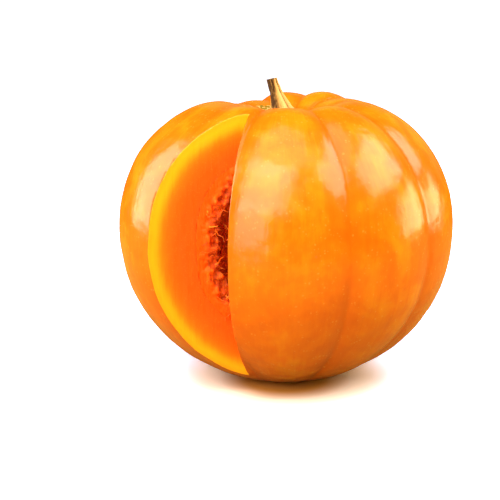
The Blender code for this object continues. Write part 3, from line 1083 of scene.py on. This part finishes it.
def stemTree():
    tree, given, end = openTree("stemRule", dict(stem, finish=dryStem))
    along, around, inset = named(tree, "along"), named(tree, "around"), named(tree, "inset")
    share = calc("MAXIMUM", along, 0.0)
    rest = calc("MAXIMUM", 1.0 - share, 0.0) ** given["taper"]
    span = given["footRadius"] - given["topRadius"]
    radius = span * rest + given["topRadius"]
    wave = calc("COSINE", around * given["ridges"])
    # narrow ridges and wide troughs
    crest = (wave * 0.5 + 0.5) ** 1.35
    ridge = crest * 2.0 - 1.0
    fine = calc("COSINE", around * given["fineRidgeCount"])
    nearFoot = remap(along, 0.22, -0.05)
    flare = nearFoot * given["footFlare"] * crest
    shape = fine * given["fineRidges"] + (ridge * given["ridgeDepth"] + 1.0) + flare
    reach = radius * shape * inset
    turn = given["twist"] * share + around
    x = reach * calc("COSINE", turn)
    y = reach * calc("SINE", turn)
    slant = x * given["topSlant"] * remap(along, given["slantStart"], 1.0)
    lean = given["lean"] * share ** given["bend"]
    z = given["stemLength"] * along + given["foot"] + slant
    # the pith has dried away in the middle of the cut
    sunk = remap(inset, 0.9, 0.35, 0.0, 1.0)
    z = z - sunk * given["pith"]
    # the spread foot follows the skin up the side of its dimple
    spread = calc("MAXIMUM", reach - 0.015, 0.0)
    z = spread * 0.55 * nearFoot + z
    body = moved(tree, given["Geometry"], Position=vectorOf(x - lean, y, z))
    where = put(tree, "GeometryNodeInputPosition")
    stretched = vectorCalc("MULTIPLY", where, (1.0, 1.0, 0.35))
    rough = cloud(tree, stretched, 420.0, 4.0)
    push = (rough - 0.5) * given["roughness"]
    normal = put(tree, "GeometryNodeInputNormal")
    worn = moved(tree, body, Offset=scaled(normal, push * 2.0))
    tone = (crest ** 0.7 * 0.62 + 0.34) * remap(inset, 0.6, 1.0, 0.25, 1.0)
    # the troughs darken towards the cut
    tone = tone - (1.0 - crest) * remap(along, 0.5, 0.85, 0.0, 0.3)
    # painted shade: one side is darker, from the top down
    facing = calc("COSINE", turn - given["darkSide"])
    paintedStemShade = remap(facing, 0.62, 0.9) * remap(along, 0.1, 0.45)
    tone = paintedStemShade * -1.0 + tone
    tone = tone - remap(along, 0.72, 1.0, 0.0, 0.28)
    worn = stored(tree, worn, "ridge", tone)
    across, aside = calc("COSINE", around) * 0.008, calc("SINE", around) * 0.008
    fibre = vectorOf(across, aside, along * 0.004)
    return closeTree(tree, stored(tree, worn, "fibres", fibre, "FLOAT_VECTOR"), given, end)


stemPiece = grown("pumpkinStem", stemNet(), stemTree(), dict(stem, finish=dryStem))
print("stem:", len(stemPiece.data.polygons), "faces")

# what stands for what

for piece, nodes, slot in (
    (flesh, ("flesh_and_rind",), "rind"),
    (lining, ("pulp",), "fibrous_pulp"),
    (pulpFibres, (), "fibrous_pulp"),
    (pulpCurls, (), "fibrous_pulp"),
    (pocketSeeds, tuple(f"seed_{n:02d}" for n in range(1, 21)), "seed_shell"),
    (looseSeeds, (), "seed_shell"),
    (stemPiece, ("stem",), "dry_stem"),
):
    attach(piece, "root")
    if nodes:
        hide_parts(*nodes)

# floor, light and camera

studio = {
    "floorRadius": 20.0, "contactPlace": (0.0, 0.03, 0.0),
    # painted contact shadow and its painted warm fringe on the floor near the fruit
    "paintedContactShadow": (0.66, 0.34, 0.08), "paintedShadowFringe": (1.09, 1.11, 1.16),
    "floorOpen": (1.30, 1.62, 2.6), "floorFar": (1.65, 1.95, 3.2), "floorRings": (0.030, 0.062, 0.105, 1.6),
    "floorBounce": (0.30, 0.28, 0.09), "mirrorNear": (0.36, 0.30, 0.09), "mirrorFar": (0.32, 0.23, 0.012),
    "mirrorFades": (0.3, 1.1), "air": (0.19, 0.135, 0.016), "backdrop": (1.0, 1.0, 1.0),
    "warm": (1.0, 0.87, 0.69), "gold": (1.0, 0.90, 0.45), "aim": Vector((0, 0, 0.12)),
    "skyPower": 1.45, "skyWay": (-40, 79), "skyAngle": math.radians(56),
    "glowPower": 0.10, "glowColour": (1.0, 0.55, 0.25), "glowPlace": (0.022, 0.005, 0.125),
}
softboxes = {       # azimuth, elevation, distance, width, height, watts, colour
    "leftBox": (-27, 43, 1.25, 1.12, 0.95, 18.0, "warm"),
    "lowBox": (-33, 9, 1.28, 0.80, 0.80, 7.6, "warm"),
    "sideBox": (-104, 17, 1.25, 0.74, 1.20, 14.0, "warm"),
    "rightLowBox": (102, 6, 1.30, 0.80, 0.50, 8.5, "gold"),
    "rightBox": (85, 44, 1.25, 1.25, 0.72, 15.5, "warm"),
    "backBox": (165, 18, 1.6, 1.6, 0.9, 1.0, "gold"),
}


def paleFloor():
    bm = bmesh.new()
    bmesh.ops.create_circle(bm, cap_ends=True, segments=96, radius=studio["floorRadius"])
    mesh = meshFrom(bm, "studioFloor")
    floor = linked("studioFloor", mesh)
    finish, tree, place = newFinish("paleFloor")
    ray = newNode(tree, "ShaderNodeLightPath").outputs
    away = lengthOf(vectorCalc("ADD", place, studio["contactPlace"]))
    far = remap(away, *studio["mirrorFades"])
    mirror = blendColour(far, studio["mirrorNear"], studio["mirrorFar"])
    tone = blendColour(ray["Is Glossy Ray"], studio["floorBounce"], mirror)
    # painted contact shadow: the floor the camera sees is dark brown where the fruit stands, then a painted
    # warm fringe, then white further out
    rings, shown = studio["floorRings"], studio["paintedContactShadow"]
    for starts, ends, name in zip(rings, rings[1:], ("paintedShadowFringe", "floorOpen", "floorFar")):
        shown = blendColour(remap(away, starts, ends), shown, studio[name])
    tone = blendColour(ray["Is Camera Ray"], tone, shown)
    tree.nodes.remove(tree.nodes["Principled BSDF"])
    matt = put(tree, "ShaderNodeBsdfDiffuse", {"Color": tone})
    tree.links.new(matt, tree.nodes["Material Output"].inputs["Surface"])
    mesh.materials.append(finish)


def aimed(name, lamp, azimuth, elevation):
    # turned to shine from this direction
    thing = linked(name, lamp)
    up = math.radians(elevation)
    way = outward(azimuth) * math.cos(up) + Vector((0, 0, math.sin(up)))
    thing.rotation_euler = way.to_track_quat("Z", "Y").to_euler()
    return thing, way


def studioLight():
    for name, (azimuth, elevation, distance, width, height, power, colour) in softboxes.items():
        lamp = bpy.data.lights.new(name, "AREA")
        lamp.shape, lamp.size, lamp.size_y = "RECTANGLE", width, height
        lamp.energy, lamp.color = power, studio[colour]
        thing, way = aimed(name, lamp, azimuth, elevation)
        thing.location = studio["aim"] + way * distance
        thing.visible_camera = False
    glow = bpy.data.lights.new("hollowGlow", "POINT")  # stands for the light that soaks through the flesh
    glow.energy, glow.color, glow.shadow_soft_size = studio["glowPower"], studio["glowColour"], 0.02
    lamp = linked("hollowGlow", glow)
    lamp.location, lamp.visible_camera, lamp.visible_glossy = studio["glowPlace"], False, False
    sky = bpy.data.lights.new("skyPanel", "SUN")
    sky.energy, sky.angle, sky.color = studio["skyPower"], studio["skyAngle"], studio["warm"]
    aimed("skyPanel", sky, *studio["skyWay"])
    world = bpy.data.worlds.new("studioAir")
    world.use_nodes = True
    scene.world = world
    tree = world.node_tree
    seen = newNode(tree, "ShaderNodeLightPath").outputs["Is Camera Ray"]
    tone = blendColour(seen, studio["air"], studio["backdrop"])
    tree.links.new(tone, tree.nodes["Background"].inputs["Color"])


view = {
    "elevation": 12.24, "distance": 1.3034, "target": 0.112, "lens": 112.25, "sensor": 36,
    "pitch": 0.366, "yaw": 1.338,
}


def addCamera():
    data = bpy.data.cameras.new("camera")
    data.lens, data.sensor_width = view["lens"], view["sensor"]
    camera = linked("camera", data)
    up = math.radians(view["elevation"])
    camera.location = (0, -view["distance"] * math.cos(up), view["target"] + view["distance"] * math.sin(up))
    tilt = math.radians(90 - view["elevation"] - view["pitch"])
    camera.rotation_euler = (tilt, 0, math.radians(view["yaw"]))
    scene.camera = camera


paleFloor()
studioLight()
addCamera()
scene.view_settings.view_transform = "Standard"
